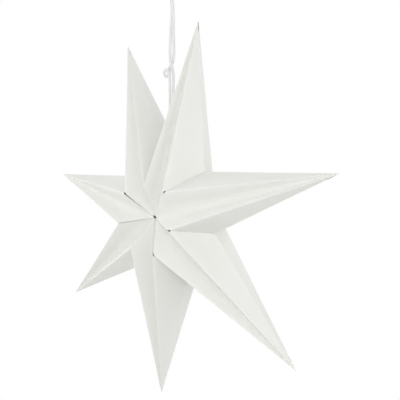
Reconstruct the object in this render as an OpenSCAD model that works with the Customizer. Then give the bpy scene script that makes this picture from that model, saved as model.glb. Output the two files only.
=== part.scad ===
// Paper advent star: seven folded card rays, glued side by side, hung from a looped cord.
// The star faces -Y. The origin is where a hook bears in the cord's loop, so the star hangs below it.

/* [Folded card] */
// Distance from the middle of the star to the tip of a ray
ray_reach = 300; // [220:5:380]
// Height of the front centre over the star's middle plane
centre_height = 36; // [26:1:46]
// Distance of a front corner from the star's axis, where all rays are opened alike
corner_radius = 56; // [48:1:64]
// Height of a front corner over the middle plane, where all rays are opened alike
corner_height = 65; // [58:1:76]
// Distance of a side corner from the star's axis, where all rays are opened alike
side_radius = 90.5; // [84:0.5:100]
// Thickness of the card
card_thickness = 0.4; // [0.3:0.05:0.6]

/* [Directions of the rays] */
// Direction of ray 1 in degrees clockwise from straight up, seen from the front
ray_1_at = -20; // [-26:0.5:-14]
// Direction of ray 2
ray_2_at = 12; // [8:0.5:18]
// Direction of ray 3
ray_3_at = 76; // [68:0.5:82]
// Direction of ray 4
ray_4_at = 129.5; // [122:0.5:136]
// Direction of ray 5
ray_5_at = 184.5; // [178:0.5:190]
// Direction of ray 6
ray_6_at = 236.5; // [230:0.5:242]
// Direction of ray 7
ray_7_at = 282; // [276:0.5:288]

/* [Lift of the tips] */
// How far the tip of ray 1 stands in front of the star's middle plane
tip_1_lift = 0; // [-15:1:15]
// Lift of the tip of ray 2
tip_2_lift = 6; // [-15:1:15]
// Lift of the tip of ray 3
tip_3_lift = 9; // [-15:1:15]
// Lift of the tip of ray 4
tip_4_lift = 1; // [-15:1:15]
// Lift of the tip of ray 5
tip_5_lift = 2; // [-15:1:15]
// Lift of the tip of ray 6
tip_6_lift = 11; // [-15:1:15]
// Lift of the tip of ray 7
tip_7_lift = 6; // [-15:1:15]

/* [Tied seam between rays 1 and 2] */
// Direction of the tied seam in degrees clockwise from straight up
tied_seam_at = 0; // [-4:0.5:4]
// Distance of the tied front and back corners from the star's axis
tied_corner_radius = 52; // [46:1:58]
// Height of the tied front corner over the middle plane
tied_corner_height = 62; // [55:1:72]
// Distance of the tied side corner from the star's axis
tied_side_radius = 87; // [82:1:92]
// Diameter of the holes that the cord goes through
tie_hole = 5; // [4.6:0.2:7]
// Distance from the tied side corner to the hole in ray 1
tie_hole_1_from_corner = 20; // [16:1:26]
// Distance from the tied side corner to the hole in ray 2
tie_hole_2_from_corner = 30; // [24:1:38]

/* [Glue flaps and cuts] */
// Width of the flaps that join a ray to its neighbours
flap_width = 8; // [5:0.5:10]
// How far the card is cut back from the star's centre
centre_cut = 2.6; // [1.5:0.1:6]
// How far the card is cut back at each corner of a seam
corner_cut = 1.9; // [0.8:0.1:3]
// Length of the open slit at a tip
tip_slit = 30; // [15:1:45]
// Widest part of the open slit at a tip
tip_slit_width = 1.6; // [0.6:0.1:2]
// Length of a tip in which the folded card is pressed shut
tip_shut = 6; // [5:0.5:9]

/* [Cord] */
// Diameter of the cord
cord_d = 4; // [3:0.1:4.4]
// Height of the hook's bearing point over the middle of the star
hang_drop = 362; // [362:1:364]

/* [Hidden] */
RAYS = 7;
ray_at = [ray_1_at, ray_2_at, ray_3_at, ray_4_at, ray_5_at, ray_6_at, ray_7_at];
tip_lift = [tip_1_lift, tip_2_lift, tip_3_lift, tip_4_lift, tip_5_lift, tip_6_lift, tip_7_lift];

// Middle of the star
middle = [0, 0, -hang_drop];

// Lengths of the card's edges and folds. They are the same in every ray, however far it is opened.
even_half = 180 / RAYS;
centre_edge = norm([corner_radius, corner_height - centre_height]);
corner_fold = norm([ray_reach - corner_radius * cos(even_half), corner_radius * sin(even_half), corner_height]);
side_fold = norm([ray_reach - side_radius * cos(even_half), side_radius * sin(even_half)]);

// A point of the star from its direction, its distance from the axis and its height to the front
function place(at, r, front) = middle + [r * sin(at), -front, r * cos(at)];
function unit(v) = v / norm(v);

// Distance from the axis and height of a front corner, in a ray opened to this half angle.
// The corner keeps its distance from the front centre and from the tip.
function corner_at(half) =
    let (
        h = centre_height,
        base = (ray_reach ^ 2 - h ^ 2 - corner_fold ^ 2 + centre_edge ^ 2) / (2 * ray_reach * cos(half)),
        slope = h / (ray_reach * cos(half)),
        a = 1 + slope ^ 2,
        b = base * slope - h,
        c = base ^ 2 + h ^ 2 - centre_edge ^ 2,
        z = (-b + sqrt(b ^ 2 - a * c)) / a
    )
    [base + slope * z, z];

// Distance of a side corner from the axis: it keeps its distance from the tip
function side_at(half) = ray_reach * cos(half) - sqrt(side_fold ^ 2 - (ray_reach * sin(half)) ^ 2);

// Seam s joins ray s to the next one. It lies halfway between them, apart from the tied one.
function gap(s) = (ray_at[(s + 1) % RAYS] - ray_at[s] + 360) % 360;
function seam_at(s) = s == 0 ? tied_seam_at : ray_at[s] + gap(s) / 2;
function seam_corner(s) = s == 0 ? [tied_corner_radius, tied_corner_height] : corner_at(gap(s) / 2);
function seam_side(s) = s == 0 ? tied_side_radius : side_at(gap(s) / 2);
function front_corner(s) = place(seam_at(s), seam_corner(s)[0], seam_corner(s)[1]);
function side_corner(s) = place(seam_at(s), seam_side(s), 0);
function back_corner(s) = place(seam_at(s), seam_corner(s)[0], -seam_corner(s)[1]);
function seam_normal(s) = [cos(seam_at(s)), 0, -sin(seam_at(s))];
function tip(k) = place(ray_at[k], ray_reach, tip_lift[k]);

// The eight corners round a ray's open end, from the front centre clockwise round to the back and home
function corners(k) =
    let (r = k, l = (k + RAYS - 1) % RAYS)
    [
        place(0, 0, centre_height), front_corner(r), side_corner(r), back_corner(r),
        place(0, 0, -centre_height), back_corner(l), side_corner(l), front_corner(l)
    ];

// Edges 0 to 3 lie in the clockwise seam and edges 4 to 7 in the other. A ridge seam stands out between
// two valleys of the face, and a notch seam lies between two side walls.
function edge_normal(k, e) = e < 4 ? -seam_normal(k) : seam_normal((k + RAYS - 1) % RAYS);
function is_ridge(e) = e == 0 || e == 3 || e == 4 || e == 7;
function cut_at(c) = c % 4 == 0 ? centre_cut : corner_cut;

function panel_normal(c, t, e) = unit(cross(c[(e + 1) % 8] - c[e], t - c[e]));
function step_to(from, to, d) = from + d * unit(to - from);

// Three points of the card's rim at each corner: before it, on its fold and after it
function rim(k) =
    let (c = corners(k), t = tip(k))
    [
        for (i = [0 : 7])
        for (p = [c[(i + 7) % 8], t, c[(i + 1) % 8]])
        step_to(c[i], p, cut_at(i))
    ];

// The same points on the inside of the card. On a seam they stay in the seam's plane, so that two
// neighbours meet face to face.
function in_seam(n, m) = let (q = n - (n * m) * m) q / (q * q);
function in_fold(n1, n2) = (n1 + n2) / (1 + n1 * n2);
function inner_rim(k) =
    let (c = corners(k), t = tip(k), o = rim(k))
    [
        for (i = [0 : 7])
        let (
            e = (i + 7) % 8,
            n1 = panel_normal(c, t, e),
            n2 = panel_normal(c, t, i),
            ways = [in_seam(n1, edge_normal(k, e)), in_fold(n1, n2), in_seam(n2, edge_normal(k, i))]
        )
        for (j = [0 : 2])
        o[3 * i + j] - card_thickness * ways[j]
    ];

// The folded card of one ray, open towards the middle of the star
module folded_card(k) {
    count = 24;
    points = concat(rim(k), inner_rim(k), [tip(k), step_to(tip(k), middle, tip_shut)]);
    faces = concat(
        [for (i = [0 : count - 1]) [2 * count, (i + 1) % count, i]],
        [for (i = [0 : count - 1]) [2 * count + 1, count + i, count + (i + 1) % count]],
        [for (i = [0 : count - 1]) [i, (i + 1) % count, count + (i + 1) % count, count + i]]
    );
    polyhedron(points, faces, convexity = 8);
}

// A flap along one edge of the rim. It is turned in, and lies against the neighbour's flap.
module glue_flap(k, e) {
    source = is_ridge(e) ? inner_rim(k) : rim(k);
    a = source[3 * e + 2];
    b = source[3 * ((e + 1) % 8)];
    m = edge_normal(k, e);
    along = unit(b - a);
    seam = e < 4 ? k : (k + RAYS - 1) % RAYS;
    side_way = cross(m, along);
    inside = place(seam_at(seam), seam_side(seam) / 3, 0);
    inward = side_way * ((inside - a) * side_way > 0 ? 1 : -1);
    end_cut = min(flap_width, norm(b - a) / 3);
    sheet = [a, b, b - end_cut * along + flap_width * inward, a + end_cut * along + flap_width * inward];
    points = concat(sheet, [for (p = sheet) p + card_thickness * m]);
    outline = (inside - a) * side_way > 0 ? [0, 1, 2, 3] : [3, 2, 1, 0];
    faces = concat(
        [outline],
        [[for (i = [3 : -1 : 0]) outline[i] + 4]],
        [for (i = [0 : 3]) let (p = outline[i], q = outline[(i + 1) % 4]) [q, p, p + 4, q + 4]]
    );
    polyhedron(points, faces);
}

// A thin lens-shaped slit in the clockwise side fold, where the card's ends are left open near the tip
module tip_opening(k) {
    c = corners(k);
    t = tip(k);
    out = unit(panel_normal(c, t, 1) + panel_normal(c, t, 2));
    wide = unit(cross(out, c[2] - t));
    stations = [[tip_shut / 2, 0.1], [tip_slit / 3, 1], [tip_slit, 0.05]];
    points = [
        for (s = stations)
        for (w = [-1, 1])
        for (d = [-2.5, 2])
        step_to(t, c[2], s[0]) + w * s[1] * tip_slit_width / 2 * wide + d * out
    ];
    hull() polyhedron(points, [[0, 1, 3, 2], [8, 10, 11, 9], [0, 4, 5, 1], [4, 8, 9, 5], [2, 3, 7, 6],
        [6, 7, 11, 10], [1, 5, 7, 3], [5, 9, 11, 7], [0, 2, 6, 4], [4, 6, 10, 8]]);
}

// A round hole through the side fold at this distance from the tied corner, square to the fold
module tie_hole_in(k, c, distance) {
    corner = corners(k)[c];
    t = tip(k);
    along = unit(t - corner);
    out = unit(panel_normal(corners(k), t, c - 1) + panel_normal(corners(k), t, c));
    across = cross(out, along);
    centre = corner + distance * along;
    multmatrix([
        [across[0], along[0], out[0], centre[0]],
        [across[1], along[1], out[1], centre[1]],
        [across[2], along[2], out[2], centre[2]],
        [0, 0, 0, 1]
    ])
    cylinder(h = 3 * tie_hole, d = tie_hole, center = true, $fn = 24);
}

// Ray k is one sheet of card. Rays 1 and 2 also have the hole for the hanging cord.
module ray(k) {
    color("whitesmoke")
    difference() {
        union() {
            folded_card(k);
            for (e = [0 : 7]) glue_flap(k, e);
        }
        tip_opening(k);
        if (k == 0) tie_hole_in(k, 2, tie_hole_1_from_corner);
        if (k == 1) tie_hole_in(k, 6, tie_hole_2_from_corner);
    }
}

// Route of the cord from the knot, up over the hook, down into ray 2, under the tied corner,
// out of ray 1 and back up to the knot. The two strands cross between the knot and the hook.
route = [
    [-1.9, -1.8, -128.5], [-1.1, 0.6, -124.5], [0.8, 2.8, -119.5], [2.4, 3, -112],
    [3.3, 2.6, -78], [4.4, 0.8, -40], [6, -3.8, -16], [6, -5, -6], [4.2, -3.6, -0.4],
    [0, 0, 2], [-4.2, 3.6, -0.4], [-6, 5, -6], [-4.2, 4.8, -16], [-0.8, 2.5, -40], [-0.7, -0.6, -78],
    [-1, -1.6, -110], [0.6, -3, -117], [2.9, -2.8, -123], [3.8, -0.8, -130],
    [3.6, 1, -138], [3.5, 1.4, -160], [3.5, 1.2, -200], [3.2, 0, -237], [5.2, -0.3, -243.4],
    [9, -0.8, -246.4], [13, -0.8, -250], [15, 0, -258], [13, 0, -274], [8, 0, -284], [0, 0, -288],
    [-8, 0, -284], [-13, 0, -274], [-14, 0, -264], [-11.4, 0, -259], [-8.4, 0, -256.4], [-5.4, 0, -253],
    [-4.2, 0, -247], [-3.2, 0, -210], [-1.7, -1.2, -162], [-1.3, -1.9, -146]
];

// Route of the knot: the cord's two ends are tied in one turn, which stands out as an eye
knot_route = [
    [-1.3, -1.9, -146], [-0.6, -3.1, -141], [-0.3, -4.8, -136], [-2, -6.8, -132.2],
    [-5.2, -7.8, -131.8], [-7.8, -7.6, -135.2], [-7.8, -6, -139.8], [-5.8, -3, -141.6],
    [-4.3, -0.7, -138], [-3.1, -0.6, -133], [-1.9, -1.8, -128.5]
];

// The line's lean at point i, which follows the shorter of its two sides more closely
function lean(p, i) =
    let (
        before = p[i] - p[max(i - 1, 0)],
        after = p[min(i + 1, len(p) - 1)] - p[i],
        a = norm(before),
        b = norm(after)
    )
    a == 0 ? after / b : b == 0 ? before / a : (before / a * b + after / b * a) / (a + b);

// A smooth curve through the route, with one more point between each two
function halfway(p, i) =
    (p[i] + p[i + 1]) / 2 + norm(p[i + 1] - p[i]) * (lean(p, i) - lean(p, i + 1)) / 8;
function curve(p) = [for (i = [0 : len(p) - 2]) each [p[i], halfway(p, i)], p[len(p) - 1]];

// The line's direction at point i. Both ends are cut level, where the cord and the knot meet.
function way(p, i) = i == 0 || i == len(p) - 1 ? [0, 0, 1] : unit(p[i + 1] - p[i - 1]);
function square_to(v, w) = unit(v - (v * w) * w);

// A tube along the points, whose rings turn no more than the line does
module tube(p, d, sides) {
    last = len(p) - 1;
    firsts = [for (i = 0, v = square_to([1, 0.3, 0.2], way(p, 0)); i <= last;
        i = i + 1, v = i > last ? v : square_to(v, way(p, i))) v];
    points = [
        for (i = [0 : last])
        let (u = firsts[i], v = cross(way(p, i), u))
        for (a = [0 : sides - 1])
        p[i] + d / 2 * (cos(360 * a / sides) * u + sin(360 * a / sides) * v)
    ];
    faces = concat(
        [[for (a = [0 : sides - 1]) a]],
        [[for (a = [sides - 1 : -1 : 0]) last * sides + a]],
        [
            for (i = [0 : last - 1])
            for (a = [0 : sides - 1])
            let (b = (a + 1) % sides)
            [i * sides + b, i * sides + a, (i + 1) * sides + a, (i + 1) * sides + b]
        ]
    );
    polyhedron(points, faces, convexity = 8);
}

module hanging_cord() {
    color("white") tube(curve(route), cord_d, 10);
}

// The knot that closes the cord's loop, end to end with the cord
module cord_knot() {
    color("white") tube(curve(knot_route), cord_d, 10);
}

ray(0);  // ray_1
ray(1);  // ray_2
ray(2);  // ray_3
ray(3);  // ray_4
ray(4);  // ray_5
ray(5);  // ray_6
ray(6);  // ray_7
hanging_cord();
cord_knot();
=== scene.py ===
import math

import bmesh
import bpy
from mathutils import Matrix, Vector, noise


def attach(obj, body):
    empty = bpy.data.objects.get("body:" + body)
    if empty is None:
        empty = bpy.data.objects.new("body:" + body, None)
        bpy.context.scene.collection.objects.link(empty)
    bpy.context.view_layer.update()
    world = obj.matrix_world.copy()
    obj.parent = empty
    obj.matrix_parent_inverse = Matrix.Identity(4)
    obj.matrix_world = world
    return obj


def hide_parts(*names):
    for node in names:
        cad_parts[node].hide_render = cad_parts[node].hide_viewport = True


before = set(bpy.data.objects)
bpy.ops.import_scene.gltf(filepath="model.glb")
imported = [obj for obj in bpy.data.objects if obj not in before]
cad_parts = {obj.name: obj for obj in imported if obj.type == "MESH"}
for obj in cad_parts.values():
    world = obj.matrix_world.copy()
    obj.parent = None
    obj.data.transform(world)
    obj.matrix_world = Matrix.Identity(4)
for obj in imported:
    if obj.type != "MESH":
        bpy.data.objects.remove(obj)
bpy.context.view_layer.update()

# The camera stands to the right of the star, a little above its middle, and looks slightly down.
# Sizes in this file are written in millimetres and multiplied by MM, apart from the studio's.
MM = 0.001
CAMERA_AT = Vector((563.6, -574.4, -275.9)) * MM
CAMERA_RIGHT = Vector((0.7522, 0.6589, 0.0005))
CAMERA_VIEW = Vector((-0.6570, 0.7501, -0.0750))
CAMERA_LENS = 45.25

right = CAMERA_RIGHT.normalized()
up = right.cross(CAMERA_VIEW).normalized()
back = right.cross(up)
camera_data = bpy.data.cameras.new("studio_camera")
camera_data.lens = CAMERA_LENS
camera_data.sensor_width = 36
camera = bpy.data.objects.new("studio_camera", camera_data)
bpy.context.scene.collection.objects.link(camera)
camera.matrix_world = Matrix.Translation(CAMERA_AT) @ Matrix((right, up, back)).transposed().to_4x4()
bpy.context.scene.camera = camera
bpy.context.scene.view_settings.view_transform = "Standard"


# Hanging cord: soft white cotton cord of three laid strands, 4 mm thick. It goes from the knot up over
# the hook, down into ray 2, under the tied corner, out of ray 1 and back up to the knot.
# Thickness over the loose fibres, thickness of a strand, length of one turn of a strand round the cord, and
# length of the steps in which strands and path are drawn
FUZZY_D = 4.9
STRAND_D = 3.1
STRAND_LAY = 15.0
STRAND_STEP = 0.8
CORD_ROUTE = [
    (-1.9, -1.8, -128.5), (-1.1, 0.6, -124.5), (0.8, 2.8, -119.5), (2.4, 3, -112),
    (3.3, 2.6, -78), (4.4, 0.8, -40), (6, -3.8, -16), (6, -5, -6), (4.2, -3.6, -0.4),
    (0, 0, 2), (-4.2, 3.6, -0.4), (-6, 5, -6), (-4.2, 4.8, -16), (-0.8, 2.5, -40), (-0.7, -0.6, -78),
    (-1, -1.6, -110), (0.6, -3, -117), (2.9, -2.8, -123), (3.8, -0.8, -130),
    (3.6, 1, -138), (3.5, 1.4, -160), (3.5, 1.2, -200), (3.2, 0, -237), (5.2, -0.3, -243.4),
    (9, -0.8, -246.4), (13, -0.8, -250), (15, 0, -258), (13, 0, -274), (8, 0, -284), (0, 0, -288),
    (-8, 0, -284), (-13, 0, -274), (-14, 0, -264), (-11.4, 0, -259), (-8.4, 0, -256.4), (-5.4, 0, -253),
    (-4.2, 0, -247), (-3.2, 0, -210), (-1.7, -1.2, -162), (-1.3, -1.9, -146),
]
KNOT_ROUTE = [
    (-1.3, -1.9, -146), (-0.6, -3.1, -141), (-0.3, -4.8, -136), (-2, -6.8, -132.2),
    (-5.2, -7.8, -131.8), (-7.8, -7.6, -135.2), (-7.8, -6, -139.8), (-5.8, -3, -141.6),
    (-4.3, -0.7, -138), (-3.1, -0.6, -133), (-1.9, -1.8, -128.5),
]


def lean(points, i):
    """The direction of the line at a point, nearer to the shorter of its two sides."""
    if i in (0, len(points) - 1):
        j = max(i, 1)
        return (points[j] - points[j - 1]).normalized()
    before, after = points[i] - points[i - 1], points[i + 1] - points[i]
    a, b = before.length, after.length
    return (before / a * b + after / b * a) / (a + b)


def smooth_line(route, step):
    """Points a step apart on a smooth line through the route, in metres."""
    points = [Vector(p) * MM for p in route]
    line = []
    for i in range(len(points) - 1):
        p, q = points[i], points[i + 1]
        reach = (q - p).length
        u, v = lean(points, i) * reach, lean(points, i + 1) * reach
        parts = max(1, round(reach / step))
        for k in range(parts):
            t = k / parts
            line.append(
                p * (2 * t**3 - 3 * t**2 + 1) + u * (t**3 - 2 * t**2 + t)
                + q * (3 * t**2 - 2 * t**3) + v * (t**3 - t**2)
            )
    return line + [points[-1]]


def laid_cord(name, route, first_turn):
    """Three strands laid round the route, as one mesh."""
    line = smooth_line(route, STRAND_STEP * MM)
    strand = STRAND_D / 2 * MM
    centre = (FUZZY_D - STRAND_D) / 2 * MM
    side = Vector((1, 0.3, 0.2))
    gone = 0
    rings = []
    for i, point in enumerate(line):
        way = (line[min(i + 1, len(line) - 1)] - line[max(i - 1, 0)]).normalized()
        side = (side - way * side.dot(way)).normalized()
        if i:
            gone += (point - line[i - 1]).length
        rings.append((point, side, way.cross(side), gone))
    curve = bpy.data.curves.new(name, "CURVE")
    curve.dimensions = "3D"
    curve.bevel_depth = strand
    curve.bevel_resolution = 2
    curve.use_fill_caps = True
    for turn in range(3):
        spline = curve.splines.new("POLY")
        spline.points.add(len(rings) - 1)
        for spot, (point, u, v, gone) in zip(spline.points, rings):
            angle = first_turn + 2 * math.pi * (gone / (STRAND_LAY * MM) + turn / 3)
            spot.co = (*(point + centre * (math.cos(angle) * u + math.sin(angle) * v)), 1)
    cord = bpy.data.objects.new(name, curve)
    bpy.context.scene.collection.objects.link(cord)
    bpy.ops.object.select_all(action="DESELECT")
    cord.select_set(True)
    bpy.context.view_layer.objects.active = cord
    bpy.ops.object.convert(target="MESH")
    bpy.ops.object.shade_smooth()
    return bpy.context.view_layer.objects.active


def linear(hex_colour):
    """An sRGB hex colour as linear RGBA."""
    parts = [int(hex_colour[i : i + 2], 16) / 255 for i in (0, 2, 4)]
    return (*[c / 12.92 if c <= 0.04045 else ((c + 0.055) / 1.055) ** 2.4 for c in parts], 1)


def add_node(material, kind, inputs=None, **settings):
    """Adds a node, sets its properties and its inputs. An input that is a socket is linked."""
    node = material.node_tree.nodes.new(kind)
    for key, value in settings.items():
        setattr(node, key, value)
    for key, value in (inputs or {}).items():
        if isinstance(value, bpy.types.NodeSocket):
            material.node_tree.links.new(value, node.inputs[key])
        else:
            node.inputs[key].default_value = value
    return node


def new_material(name):
    """An empty material with its shader and output joined."""
    material = bpy.data.materials.new(name)
    material.use_nodes = True
    material.node_tree.nodes.clear()
    shader = add_node(material, "ShaderNodeBsdfPrincipled")
    add_node(material, "ShaderNodeOutputMaterial", {"Surface": shader.outputs["BSDF"]})
    return material, shader


# Cotton yarn, spun and laid: matt, with a soft fuzz that catches light at the edge. The real fibres are too
# fine to show, so tufts 0.6 mm wide are drawn.
cotton, cotton_shader = new_material("cotton_yarn")
cotton_at = add_node(cotton, "ShaderNodeTexCoord")
fibres = add_node(cotton, "ShaderNodeTexNoise", {
    "Vector": cotton_at.outputs["Object"], "Scale": 1 / (0.6 * MM), "Detail": 3.0, "Roughness": 0.6,
})
yarn_tint = add_node(cotton, "ShaderNodeMix", {
    "Factor": fibres.outputs["Fac"], "A": linear("E9E9E9"), "B": linear("F4F4F4"),
}, data_type="RGBA")
yarn_bump = add_node(cotton, "ShaderNodeBump", {
    "Strength": 0.35, "Distance": 0.15 * MM, "Height": fibres.outputs["Fac"],
})
cotton.node_tree.links.new(yarn_tint.outputs["Result"], cotton_shader.inputs["Base Color"])
cotton.node_tree.links.new(yarn_bump.outputs["Normal"], cotton_shader.inputs["Normal"])
cotton_shader.inputs["Roughness"].default_value = 0.9
cotton_shader.inputs["Specular IOR Level"].default_value = 0.25
cotton_shader.inputs["Sheen Weight"].default_value = 0.2
cotton_shader.inputs["Sheen Roughness"].default_value = 0.5

cord = laid_cord("laid_cotton_cord", CORD_ROUTE, 0.0)
knot = laid_cord("tied_knot", KNOT_ROUTE, 1.0)
for piece, node in ((cord, "hanging_cord"), (knot, "cord_knot")):
    piece.data.materials.clear()
    piece.data.materials.append(cotton)
    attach(piece, "root")
    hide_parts(node)


# Seven rays, each one sheet of white card that is folded round, glued along its clockwise side fold and
# left open for a little way at the tip. Flaps at the open end are turned in and glued to the next ray's.
DROP = 362.0
REACH = 300.0
CENTRE_HEIGHT = 36.0
CARD = 0.4
FLAP = 8.0
# The part of a flap's width that its edge turns from the next ray's where the two rays stand 1 mm apart, and
# how far they stand apart at the back
FLAP_TURN = 0.8
BACK_PARTED = 0.1
# How wide the card bends at its ridges and side folds, how far the side corners stand out to make up for it,
# the depth of the groove between two rays, and how blunt a tip is
RIDGE_ROUND = 4.2
SIDE_ROUND = 0.6
SIDE_EASE = 0.6
RIM_GROOVE = 0.12
TIP_BLUNT = 0.4
# How much slimmer than a straight taper a ray is, and where along it that begins and over what part it comes
PINCH = 0.015
PINCH_FROM = 0.15
PINCH_OVER = 0.45
# How far a front or back panel bulges beside its ridge, the share of it that a side panel has, and the part
# of the ray's length over which it begins
PANEL_CROWN = 1.3
SIDE_CROWN = 0.6
CROWN_OVER = 0.12
# Height of the card's waves, how many there are in a metre, and how far each ray's are shifted
PANEL_WAVE = 0.9
WAVES = 22
WAVE_SHIFT = 3.1
# How far the card rounds out its valley folds near the star's middle, and over what part of a panel
VALLEY_SOFT = 6.0
VALLEY_SPREAD = 0.45
# The part of the length over which the card thins to a point at the tip
THIN_FROM = 0.1
# How strongly the painted highlight of a fold shows: round a fold, beside it, at the flap's fold and just
# past that
HIGHLIGHT_ROUND = 1.0
HIGHLIGHT_BESIDE = 0.6
HIGHLIGHT_RIM = 0.8
HIGHLIGHT_PAST_RIM = 0.4
# Points nearer than this are one, and folds flatter than this angle are shaded smooth
SAME_POINT = 0.004
SMOOTH_ANGLE = 32
# Direction, clockwise from straight up, and lift of each ray's tip, length of its open slit, how far the
# card's front and back edges draw back from it, and how much of the corner at the star's centre is cut away
TIPS = [
    (-20, 0, 0.1, 0.4, 0.4, 5.2),
    (12, 6, 0.075, 2.0, 0.2, 4.6),
    (76, 9, 0.08, 4.4, 0.2, 2.0),
    (129.5, 1, 0.1, 0.4, 0.4, 1.0),
    (184.5, 2, 0.1, 0.4, 0.4, 1.2),
    (236.5, 11, 0.1, 0.4, 0.4, 1.6),
    (282, 6, 0.1, 0.4, 0.4, 4.0),
]
# Direction of the seam after each ray, reach and height of its front corner, reach of its side corner,
# how far the two rays stand apart at its front corner and at the centre, and the size of the corner's hole
SEAMS = [
    (0, 52, 62, 87, 0.1, 0.1, 0.3),
    (44, 58.67, 59.14, 99.51, 0.1, 0.1, 1.9),
    (102.75, 56.4, 64.22, 91.73, 0.1, 0.1, 2.4),
    (157, 56.69, 63.62, 92.67, 0.7, 1.15, 2.2),
    (210.5, 56.11, 64.79, 90.83, 0.1, 0.1, 0.3),
    (259.25, 54.96, 66.92, 87.43, 1.0, 0.65, 0.4),
    (311, 57.32, 62.3, 94.71, 1.7, 0.15, 2.0),
]
# Where the rows of points lie between the open end and the tip, as parts of the length
ROWS = [
    0.04, 0.1, 0.17, 0.25, 0.34, 0.44, 0.54, 0.64, 0.73, 0.81, 0.87, 0.91, 0.925, 0.94, 0.955, 0.97,
    0.985, 0.999, 1.0,
]
RIM_ROWS = 4
ROUND_STEPS = 4
PANEL_STEPS = 7


def star_point(direction, reach, front):
    """A point of the star, in metres."""
    a = math.radians(direction)
    return Vector((reach * math.sin(a), -front, reach * math.cos(a) - DROP)) * MM


def open_end(k):
    """The corners of a ray's open end, from its clockwise side corner by the front and round to it again."""
    (ra, rr, rh, rs), (la, lr, lh, ls) = SEAMS[k][:4], SEAMS[k - 1][:4]
    return [
        star_point(ra, rs + SIDE_EASE, 0), star_point(ra, rr, rh), star_point(0, 0, CENTRE_HEIGHT),
        star_point(la, lr, lh), star_point(la, ls + SIDE_EASE, 0), star_point(la, lr, -lh),
        star_point(0, 0, -CENTRE_HEIGHT), star_point(ra, rr, -rh), star_point(ra, rs + SIDE_EASE, 0),
    ]


def sheet_columns(corners, centre_cut):
    """The sheet's columns of points, one for each place round the open end: the place, its panel, how far
    across that panel it is, and how far it is drawn back to round or open the corner."""
    columns = [(corners[0], 0, 0.0, 0.0)]
    half = [RIDGE_ROUND, centre_cut, RIDGE_ROUND]
    bends = [0, *half, SIDE_ROUND, *half, 0]
    for i in range(8):
        a, b = corners[i], corners[i + 1]
        way = (b - a).normalized() * MM
        start = a + way * bends[i]
        stop = b - way * bends[i + 1]
        for s in range(0 if i else 1, PANEL_STEPS + 1):
            columns.append((start.lerp(stop, s / PANEL_STEPS), i, s / PANEL_STEPS, 0.0))
        if i < 7:
            after = b + (corners[i + 2] - b).normalized() * MM * bends[i + 1]
            for s in range(1, ROUND_STEPS):
                t = s / ROUND_STEPS
                place = stop * (1 - t) ** 2 + b * 2 * t * (1 - t) + after * t**2
                panel, across = (i, 1.0) if t < 0.5 else (i + 1, 0.0)
                columns.append((place, panel, across, 4 * t * (1 - t)))
    return columns


def panel_ways(corners, tip, axis):
    """The direction in which each of a ray's eight panels faces."""
    ways = []
    for a, b in zip(corners, corners[1:]):
        out = (b - a).cross(tip - a).normalized()
        ways.append(out if out.dot(a - axis) > 0 else -out)
    return ways


def flap_ways(k, seam, corners, edge, from_corner):
    """At a place of the open end: how far it stands from the seam, the way along the flap, and how far the
    flap's edge turns from the next ray's."""
    direction, side_reach, corner_parted, centre_parted = (SEAMS[seam][n] for n in (0, 3, 4, 5))
    a = math.radians(direction)
    own = Vector((math.cos(a), 0, -math.sin(a))) * (-1 if seam == k else 1)
    parted = BACK_PARTED
    if edge in (1, 2):
        parted = corner_parted * (1 - from_corner) + centre_parted * from_corner
    inward = own.cross(corners[edge + 1] - corners[edge]).normalized()
    if inward.dot(star_point(direction, side_reach / 3, 0) - corners[edge]) < 0:
        inward = -inward
    return own * MM * parted / 2, inward, own * MM * FLAP_TURN * FLAP * min(1, parted)


def crown_height(edge, across, f):
    """How far a panel bulges beside its ridge, in metres."""
    ridge = across if edge % 2 else 1 - across
    if ridge >= 0.5:
        return 0.0
    crown = PANEL_CROWN * (1.0 if edge in (1, 2, 5, 6) else SIDE_CROWN)
    return crown * math.sin(2 * math.pi * ridge) * (1 - f) * min(1, f / CROWN_OVER) * MM


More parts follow.
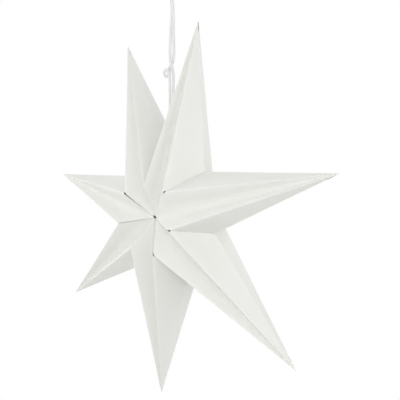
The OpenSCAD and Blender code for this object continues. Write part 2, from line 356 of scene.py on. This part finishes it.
def sheet_points(k, corners, columns):
    """The places of the sheet's points, row by row, and how much painted highlight each gets for lying on a
    fold.
    """
    direction, lift, slit_length, front_draw, back_draw = TIPS[k][:5]
    tip = star_point(direction, REACH, lift)
    axis = star_point(direction, REACH / 2, lift / 2)
    centre = star_point(0, 0, 0)
    along = tip - centre
    outs = panel_ways(corners, tip, axis)
    front_way = (outs[1] + outs[2]).normalized()
    back_way = (outs[5] + outs[6]).normalized()
    slit_way = (tip - corners[0]).cross(outs[0] + outs[7]).normalized()
    if slit_way.dot(corners[1] - corners[0]) < 0:
        slit_way = -slit_way
    wide, rows = len(columns), RIM_ROWS + len(ROWS)
    places = [None] * wide * rows
    folds = [0.0] * wide * rows
    for j, (rim, edge, across, drawn) in enumerate(columns):
        seam = k if edge in (0, 1, 6, 7) else k - 1
        from_corner = across if edge in (1, 5) else 1 - across
        apart, inward, turned = flap_ways(k, seam, corners, edge, from_corner)
        to_tip = (tip - rim).normalized()
        rim = rim + to_tip * drawn * SEAMS[seam][6] * MM + apart
        soft = 0.0
        if edge in (1, 2, 5, 6):
            soft = max(0.0, 1 - (1 - from_corner) / VALLEY_SPREAD) ** 2
        spoke = tip - axis
        blunt = (rim - axis) - spoke * (rim - axis).dot(spoke) / spoke.length_squared
        end = tip + blunt.normalized() * TIP_BLUNT * MM
        # The flap's edge, the flap's fold, and two rows that round that fold
        rim_rows = [
            rim + inward * (RIM_GROOVE + FLAP) * MM + turned,
            rim + inward * RIM_GROOVE * MM,
            rim + (to_tip * 0.5 + inward * 0.2) * RIM_GROOVE * MM,
            rim + to_tip * 1.6 * RIM_GROOVE * MM,
        ]
        for i in range(rows):
            if i < RIM_ROWS:
                place = rim_rows[i]
            else:
                f = ROWS[i - RIM_ROWS]
                place = rim.lerp(end if i < rows - 1 else tip, min(f, 0.9999))
                on_axis = centre + along * (place - centre).dot(along) / along.length_squared
                place = place.lerp(on_axis, PINCH * min(1, max(0, f - PINCH_FROM) / PINCH_OVER))
                wave = noise.noise(place * WAVES + Vector((k * WAVE_SHIFT, 0, 0)))
                wave *= math.sin(math.pi * across) * math.sin(math.pi * f) ** 0.7
                place += outs[edge] * wave * PANEL_WAVE * MM
                place += outs[edge] * crown_height(edge, across, f)
                if soft:
                    bend = VALLEY_SOFT * soft * (1 - f) * min(1, f / CROWN_OVER)
                    place += (front_way if edge < 3 else back_way) * bend * MM
                # The glued fold is open near the tip, widest in the outer part of the slit
                if edge in (0, 7) and 1 - slit_length < f < 1:
                    gape = math.sin(math.pi * ((1 - f) / slit_length) ** 1.8) ** 0.7
                    draw = (1 - across) * front_draw if edge == 0 else -across * back_draw
                    place += slit_way * gape * draw * MM
            places[i * wide + j] = place
            # Painted highlight: points on and beside a fold get a share of a lighter colour
            highlight_share = HIGHLIGHT_ROUND if drawn else HIGHLIGHT_BESIDE if across in (0.0, 1.0) else 0.0
            if i < RIM_ROWS:
                highlight_share = max(highlight_share, HIGHLIGHT_RIM if i < RIM_ROWS - 1 else HIGHLIGHT_PAST_RIM)
            folds[i * wide + j] = highlight_share
    return places, folds


def folded_card(k):
    """One ray's card: a grid laid on the folds, closed along its seam and given its thickness."""
    corners = open_end(k)
    columns = sheet_columns(corners, TIPS[k][5])
    places, folds = sheet_points(k, corners, columns)
    wide = len(columns)
    rows = RIM_ROWS + len(ROWS)
    bpy.ops.object.select_all(action="DESELECT")
    bpy.ops.mesh.primitive_grid_add(x_subdivisions=wide - 1, y_subdivisions=rows - 1, size=1)
    ray = bpy.context.view_layer.objects.active
    ray.name = ray.data.name = "card_ray_%d" % (k + 1)
    mesh = ray.data
    for vertex, place in zip(mesh.vertices, places):
        vertex.co = place
    # The painted fold highlight is kept as a point attribute for the card's material
    mesh.attributes.new("fold", "FLOAT", "POINT").data.foreach_set("value", folds)
    thick = ray.vertex_groups.new(name="thick")
    for i in range(rows - 1):
        share = min(1.0, (1 - ROWS[i - RIM_ROWS]) / THIN_FROM) if i >= RIM_ROWS else 1.0
        thick.add(list(range(i * wide, (i + 1) * wide)), share, "REPLACE")

    # The flaps are parted at the corners, the sheet's two edges meet, and its faces look outwards
    edit = bmesh.new()
    edit.from_mesh(mesh)
    loose = []
    for face in edit.faces:
        j = min(v.index % wide for v in face.verts)
        if min(v.index for v in face.verts) < wide and (columns[j][3] or columns[j + 1][3]):
            loose.append(face)
    bmesh.ops.delete(edit, geom=loose, context="FACES")
    bmesh.ops.remove_doubles(edit, verts=edit.verts, dist=SAME_POINT * MM)
    widest = max(edit.faces, key=lambda face: face.calc_area())
    axis = star_point(TIPS[k][0], REACH / 2, TIPS[k][1] / 2)
    if widest.normal.dot(widest.calc_center_median() - axis) < 0:
        bmesh.ops.reverse_faces(edit, faces=edit.faces)
    edit.to_mesh(mesh)
    edit.free()

    bpy.ops.object.select_all(action="DESELECT")
    ray.select_set(True)
    bpy.context.view_layer.objects.active = ray
    card = ray.modifiers.new("card_thickness", "SOLIDIFY")
    card.thickness = CARD * MM
    card.offset = -1
    card.vertex_group = "thick"
    bpy.ops.object.modifier_apply(modifier=card.name)
    bpy.ops.object.shade_smooth_by_angle(angle=math.radians(SMOOTH_ANGLE))
    return ray


# Round holes, punched square through the card, that the cord is tied through: ray, middle and direction
HOLE_RADIUS = 2.5
PUNCH_LENGTH = 16.0
TIE_HOLES = {0: ((-11.9, 0, -259.6), (0.55, 0, 0.83)), 1: ((10.7, 0, -247.6), (-0.8, 0, 0.6))}


def tie_hole(ray, centre, square):
    """Punches the round hole that the cord goes through."""
    bpy.ops.object.select_all(action="DESELECT")
    bpy.ops.mesh.primitive_cylinder_add(
        vertices=28, radius=HOLE_RADIUS * MM, depth=PUNCH_LENGTH * MM, location=Vector(centre) * MM,
    )
    punch = bpy.context.view_layer.objects.active
    punch.data.transform(Vector(square).to_track_quat("Z", "Y").to_matrix().to_4x4())
    bpy.ops.object.select_all(action="DESELECT")
    ray.select_set(True)
    bpy.context.view_layer.objects.active = ray
    cut = ray.modifiers.new("tie_hole", "BOOLEAN")
    cut.operation = "DIFFERENCE"
    cut.object = punch
    bpy.ops.object.modifier_apply(modifier=cut.name)
    bpy.data.objects.remove(punch)


# White card, uncoated and calendered: matt, with faint clouds of denser fibre about 14 mm wide. Its real
# grain is too fine to show and is drawn at 0.7 mm. The folds are painted a touch lighter, a painted
# highlight where light catches the rounded creases.
card_stock, card_shader = new_material("uncoated_card")
card_at = add_node(card_stock, "ShaderNodeTexCoord")
clouds = add_node(card_stock, "ShaderNodeTexNoise", {
    "Vector": card_at.outputs["Object"], "Scale": 1 / (14 * MM), "Detail": 4.0, "Roughness": 0.55,
})
grain = add_node(card_stock, "ShaderNodeTexNoise", {
    "Vector": card_at.outputs["Object"], "Scale": 1 / (0.7 * MM), "Detail": 4.0, "Roughness": 0.65,
})
card_tint = add_node(card_stock, "ShaderNodeMix", {
    "Factor": clouds.outputs["Fac"], "A": linear("EAEAE6"), "B": linear("EEEEEA"),
}, data_type="RGBA")
# Painted highlight: the folds are mixed a touch towards a lighter colour
highlight_share = add_node(card_stock, "ShaderNodeAttribute", attribute_name="fold")
highlight_part = add_node(card_stock, "ShaderNodeMath", {
    0: highlight_share.outputs["Fac"], 1: 0.3,
}, operation="MULTIPLY")
card_colour = add_node(card_stock, "ShaderNodeMix", {
    "Factor": highlight_part.outputs["Value"], "A": card_tint.outputs["Result"], "B": linear("F4F4F1"),
}, data_type="RGBA")
card_rough = add_node(card_stock, "ShaderNodeMapRange", {
    "Value": grain.outputs["Fac"], "To Min": 0.72, "To Max": 0.9,
})
card_bump = add_node(card_stock, "ShaderNodeBump", {
    "Strength": 0.25, "Distance": 0.05 * MM, "Height": grain.outputs["Fac"],
})
card_stock.node_tree.links.new(card_colour.outputs["Result"], card_shader.inputs["Base Color"])
card_stock.node_tree.links.new(card_rough.outputs["Result"], card_shader.inputs["Roughness"])
card_stock.node_tree.links.new(card_bump.outputs["Normal"], card_shader.inputs["Normal"])
card_shader.inputs["Specular IOR Level"].default_value = 0.3

for k in range(len(TIPS)):
    ray = folded_card(k)
    if k in TIE_HOLES:
        tie_hole(ray, *TIE_HOLES[k])
    ray.data.materials.clear()
    ray.data.materials.append(card_stock)
    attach(ray, "root")
    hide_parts("ray_%d" % (k + 1))


# Studio: a floor in matt white paint far below the star, in metres. The camera sees it with some glow added,
# so that it is as white as the surround, which lights the star evenly.
FLOOR_Z = -2.8
FLOOR_SIZE = 4.4
FLOOR_GLOW = 0.55
SURROUND = 0.462
bpy.ops.object.select_all(action="DESELECT")
bpy.ops.mesh.primitive_plane_add(size=FLOOR_SIZE, location=(0, 0, FLOOR_Z))
floor = bpy.context.view_layer.objects.active
floor.name = "floor"
floor_paint, floor_shader = new_material("matt_white_floor_paint")
floor_shader.inputs["Base Color"].default_value = linear("F2F2F0")
floor_shader.inputs["Roughness"].default_value = 0.9
floor_seen = add_node(floor_paint, "ShaderNodeLightPath")
floor_glow = add_node(floor_paint, "ShaderNodeMath", {
    0: floor_seen.outputs["Is Camera Ray"], 1: FLOOR_GLOW,
}, operation="MULTIPLY")
floor_shader.inputs["Emission Color"].default_value = (1, 1, 1, 1)
floor_paint.node_tree.links.new(floor_glow.outputs["Value"], floor_shader.inputs["Emission Strength"])
floor.data.materials.append(floor_paint)

world = bpy.data.worlds.new("white_surround")
bpy.context.scene.world = world
world.use_nodes = True
world.node_tree.nodes.clear()
light_path = add_node(world, "ShaderNodeLightPath")
seen = add_node(world, "ShaderNodeMath", {
    0: light_path.outputs["Is Camera Ray"], 1: light_path.outputs["Is Glossy Ray"],
}, operation="MAXIMUM")
seen_too = add_node(world, "ShaderNodeMath", {
    0: seen.outputs["Value"], 1: light_path.outputs["Is Transmission Ray"],
}, operation="MAXIMUM")
glow = add_node(world, "ShaderNodeBackground", {"Color": (1, 1, 1, 1), "Strength": SURROUND})
white = add_node(world, "ShaderNodeBackground", {"Color": (1, 1, 1, 1), "Strength": 1.0})
surround = add_node(world, "ShaderNodeMixShader", {
    "Fac": seen_too.outputs["Value"], 1: glow.outputs["Background"], 2: white.outputs["Background"],
})
add_node(world, "ShaderNodeOutputWorld", {"Surface": surround.outputs["Shader"]})


# Square soft lamps all round the star, out of the camera's sight: name, direction from the star's middle,
# size in metres and power in watts
LAMP_DISTANCE = 2.0
LAMPS = [
    ("softbox_front", (0.05, -1.0, 0.1), 1.6, 10.3),
    ("softbox_right", (1.0, -0.25, 0.1), 1.6, 8.9),
    ("softbox_left", (-1.0, -0.25, 0.1), 1.6, 7.9),
    ("softbox_top_left", (-0.7, -0.5, 0.8), 1.6, 7.7),
    ("softbox_low_left", (-0.8, -0.5, -0.7), 1.6, 8.0),
    ("softbox_right_back", (1.0, 0.5, 0.1), 1.6, 5.3),
    ("softbox_top_back", (0.1, 0.8, 0.8), 1.6, 10.1),
    ("softbox_low_back", (0.1, 0.8, -0.8), 1.6, 8.8),
    ("lamp_right_front", (0.7, -0.7, 0.3), 0.5, 5.0),
]
for name, towards, size, power in LAMPS:
    lamp_data = bpy.data.lights.new(name, "AREA")
    lamp_data.shape = "SQUARE"
    lamp_data.size = size
    lamp_data.energy = power
    lamp = bpy.data.objects.new(name, lamp_data)
    bpy.context.scene.collection.objects.link(lamp)
    way = Vector(towards).normalized()
    lamp.matrix_world = Matrix.Translation(star_point(0, 0, 0) + way * LAMP_DISTANCE) @ (
        way.to_track_quat("Z", "Y").to_matrix().to_4x4()
    )
    lamp.visible_camera = False
